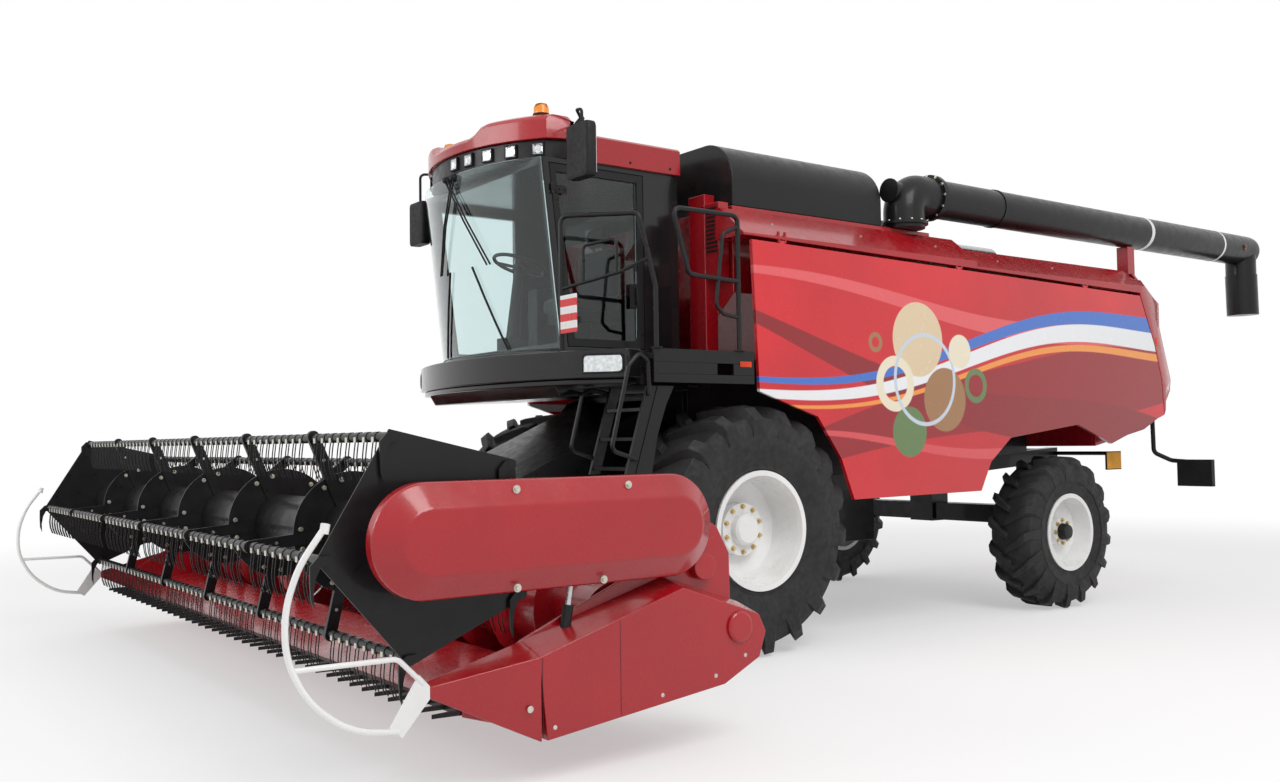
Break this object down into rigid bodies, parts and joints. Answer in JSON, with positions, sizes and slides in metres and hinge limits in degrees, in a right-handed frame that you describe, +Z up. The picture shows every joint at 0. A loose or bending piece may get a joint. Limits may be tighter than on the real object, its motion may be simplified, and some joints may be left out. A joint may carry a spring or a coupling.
{
  "type": "combine harvester",
  "caption": "Self-propelled combine harvester with a grain header and tined reel, cab, grain tank with folding-out unloading auger, lugged tyres and steered rear axle.",
  "frame": {"origin": "on the ground, in the middle of the overall length and width", "axes": "+X is the machine's left, -Y is forward, +Z is up"},
  "size_m": [6.55, 11.8616, 3.9994],
  "materials": {
    "red_paint": "gloss red enamel",
    "black_paint": "satin black enamel",
    "white_paint": "gloss white enamel",
    "black_plastic": "moulded, fine grain",
    "tyre": "matt",
    "glass": "clear, light tint",
    "lamp_glass": "clear lens",
    "amber": "clear amber",
    "bare_steel": "machined",
    "seat_fabric": "woven black"
  },
  "bodies": {
    "chassis": {"main_frame": "black_paint", "front_axle": "black_paint", "rear_axle": "black_paint", "threshing_body": "black_paint", "grain_tank": "red_paint", "tank_cover": "black_paint", "engine_deck": "black_paint", "engine": "black_paint", "rear_hood": "red_paint", "shoulder_rails": "red_paint", "cab_shell": "black_paint", "cab_roof": "red_paint", "cab_glass": "glass", "cab_fascia": "black_plastic", "lamps": "lamp_glass", "beacons": "amber", "seat": "seat_fabric", "steering_column": "black_plastic", "platform": "black_paint", "ladder": "black_paint", "handrails": "black_paint", "mirrors": "black_plastic"},
    "side_panel_left": {"side_panel_left": "red_paint"},
    "side_panel_right": {"side_panel_right": "red_paint"},
    "cab_door": {"cab_door": "black_paint", "cab_door_glass": "glass"},
    "unloader": {"unloader_elbow": "black_paint", "unloader_tube": "black_paint"},
    "header": {"feeder_house": "black_paint", "header_frame": "red_paint", "knife_bar": "black_paint", "end_sheet_left": "red_paint", "end_sheet_right": "red_paint", "crop_dividers": "white_paint"},
    "lift_barrels": {"lift_barrels": "black_paint"},
    "lift_rods": {"lift_rods": "bare_steel"},
    "header_auger": {"header_auger": "red_paint"},
    "reel_arms": {"reel_arms": "black_paint", "chain_cover": "red_paint"},
    "reel_cylinder_barrels": {"reel_cylinder_barrels": "black_paint"},
    "reel_cylinder_rods": {"reel_cylinder_rods": "bare_steel"},
    "reel": {"reel": "black_paint"},
    "knuckle_left": {"knuckle_left": "black_paint"},
    "knuckle_right": {"knuckle_right": "black_paint"},
    "tie_rod": {"tie_rod": "black_paint"},
    "tine_bar_1": {"tine_bar_1": "black_paint"},
    "tine_bar_2": {"tine_bar_2": "black_paint"},
    "tine_bar_3": {"tine_bar_3": "black_paint"},
    "tine_bar_4": {"tine_bar_4": "black_paint"},
    "tine_bar_5": {"tine_bar_5": "black_paint"},
    "front_wheel_left": {"front_tyre_left": "tyre", "front_rim_left": "white_paint"},
    "rear_wheel_left": {"rear_tyre_left": "tyre", "rear_rim_left": "white_paint"},
    "front_wheel_right": {"front_tyre_right": "tyre", "front_rim_right": "white_paint"},
    "rear_wheel_right": {"rear_tyre_right": "tyre", "rear_rim_right": "white_paint"}
  },
  "joints": [
    {"name": "steer", "type": "hinge", "parent": "chassis", "child": "knuckle_left", "pos_m": [0.96, 1.855, 0.685], "axis": [0, 0, 1], "range_deg": [-35, 35]},
    {"name": "steer_right", "type": "hinge", "parent": "chassis", "child": "knuckle_right", "pos_m": [-0.96, 1.855, 0.685], "axis": [0, 0, 1], "range_deg": [-36, 36]},
    {"name": "tie_rod_turn", "type": "hinge", "parent": "knuckle_left", "child": "tie_rod", "pos_m": [0.96, 2.115, 0.725], "axis": [0, 0, 1], "range_deg": [-36, 36]},
    {"name": "front_wheel_left_spin", "type": "hinge", "parent": "chassis", "child": "front_wheel_left", "pos_m": [1.245, -1.855, 0.905], "axis": [1, 0, 0], "continuous": true},
    {"name": "rear_wheel_left_spin", "type": "hinge", "parent": "knuckle_left", "child": "rear_wheel_left", "pos_m": [1.395, 1.855, 0.685], "axis": [1, 0, 0], "continuous": true},
    {"name": "front_wheel_right_spin", "type": "hinge", "parent": "chassis", "child": "front_wheel_right", "pos_m": [-1.245, -1.855, 0.905], "axis": [1, 0, 0], "continuous": true},
    {"name": "rear_wheel_right_spin", "type": "hinge", "parent": "knuckle_right", "child": "rear_wheel_right", "pos_m": [-1.395, 1.855, 0.685], "axis": [1, 0, 0], "continuous": true},
    {"name": "header_lift", "type": "hinge", "parent": "chassis", "child": "header", "pos_m": [0, -2.025, 1.8], "axis": [-1, 0, 0], "range_deg": [-3, 14]},
    {"name": "lift_barrel_turn", "type": "hinge", "parent": "chassis", "child": "lift_barrels", "pos_m": [0, -2.105, 0.64], "axis": [-1, 0, 0], "range_deg": [-3.86, 16.2]},
    {"name": "lift_rod_slide", "type": "slide", "parent": "lift_barrels", "child": "lift_rods", "axis": [0, -0.985, -0.1728], "range_m": [-0.0616, 0.2804]},
    {"name": "header_auger_spin", "type": "hinge", "parent": "header", "child": "header_auger", "pos_m": [0, -4.185, 0.665], "axis": [1, 0, 0], "continuous": true},
    {"name": "reel_lift", "type": "hinge", "parent": "header", "child": "reel_arms", "pos_m": [0, -3.745, 1.13], "axis": [-1, 0, 0], "range_deg": [0, 24]},
    {"name": "reel_cylinder_turn", "type": "hinge", "parent": "header", "child": "reel_cylinder_barrels", "pos_m": [0, -4.575, 0.4], "axis": [-1, 0, 0], "range_deg": [-4.5, 0.5]},
    {"name": "reel_rod_slide", "type": "slide", "parent": "reel_cylinder_barrels", "child": "reel_cylinder_rods", "axis": [0, 0.1685, 0.9857], "range_m": [-0.002, 0.3072]},
    {"name": "reel_spin", "type": "hinge", "parent": "reel_arms", "child": "reel", "pos_m": [0, -5.155, 1.115], "axis": [1, 0, 0], "continuous": true},
    {"name": "tine_bar_1_turn", "type": "hinge", "parent": "reel", "child": "tine_bar_1", "pos_m": [0, -5.35734, 1.59402], "axis": [1, 0, 0], "continuous": true},
    {"name": "tine_bar_2_turn", "type": "hinge", "parent": "reel", "child": "tine_bar_2", "pos_m": [0, -5.6731, 1.07058], "axis": [1, 0, 0], "continuous": true},
    {"name": "tine_bar_3_turn", "type": "hinge", "parent": "reel", "child": "tine_bar_3", "pos_m": [0, -5.27286, 0.60853], "axis": [1, 0, 0], "continuous": true},
    {"name": "tine_bar_4_turn", "type": "hinge", "parent": "reel", "child": "tine_bar_4", "pos_m": [0, -4.70974, 0.8464], "axis": [1, 0, 0], "continuous": true},
    {"name": "tine_bar_5_turn", "type": "hinge", "parent": "reel", "child": "tine_bar_5", "pos_m": [0, -4.76196, 1.45547], "axis": [1, 0, 0], "continuous": true},
    {"name": "unloader_swing", "type": "hinge", "parent": "chassis", "child": "unloader", "pos_m": [1.29, 0.075, 3.6], "axis": [0, 0, -1], "range_deg": [0, 95]},
    {"name": "cab_door_swing", "type": "hinge", "parent": "chassis", "child": "cab_door", "pos_m": [0.914, -3.06808, 2.42], "axis": [0, 0.1133, -0.9936], "range_deg": [0, 55]},
    {"name": "side_panel_left_lift", "type": "hinge", "parent": "chassis", "child": "side_panel_left", "pos_m": [1.588, -1.925, 3.003], "axis": [0, -0.9998, 0.0188], "range_deg": [0, 70]},
    {"name": "side_panel_right_lift", "type": "hinge", "parent": "chassis", "child": "side_panel_right", "pos_m": [-1.588, -1.925, 3.003], "axis": [0, 0.9998, -0.0188], "range_deg": [0, 70]}
  ],
  "couplings": [
    {"joint": "steer_right", "follows": "steer", "ratio": 1},
    {"joint": "tie_rod_turn", "follows": "steer", "ratio": -1},
    {"joint": "lift_barrel_turn", "follows": "header_lift", "ratio": 1.1212},
    {"joint": "lift_rod_slide", "follows": "header_lift", "m_per_rad": 1.1392},
    {"joint": "reel_cylinder_turn", "follows": "reel_lift", "ratio": -0.16662},
    {"joint": "reel_rod_slide", "follows": "reel_lift", "m_per_rad": 0.72869},
    {"joint": "tine_bar_1_turn", "follows": "reel_spin", "ratio": -1},
    {"joint": "tine_bar_2_turn", "follows": "reel_spin", "ratio": -1},
    {"joint": "tine_bar_3_turn", "follows": "reel_spin", "ratio": -1},
    {"joint": "tine_bar_4_turn", "follows": "reel_spin", "ratio": -1},
    {"joint": "tine_bar_5_turn", "follows": "reel_spin", "ratio": -1}
  ]
}
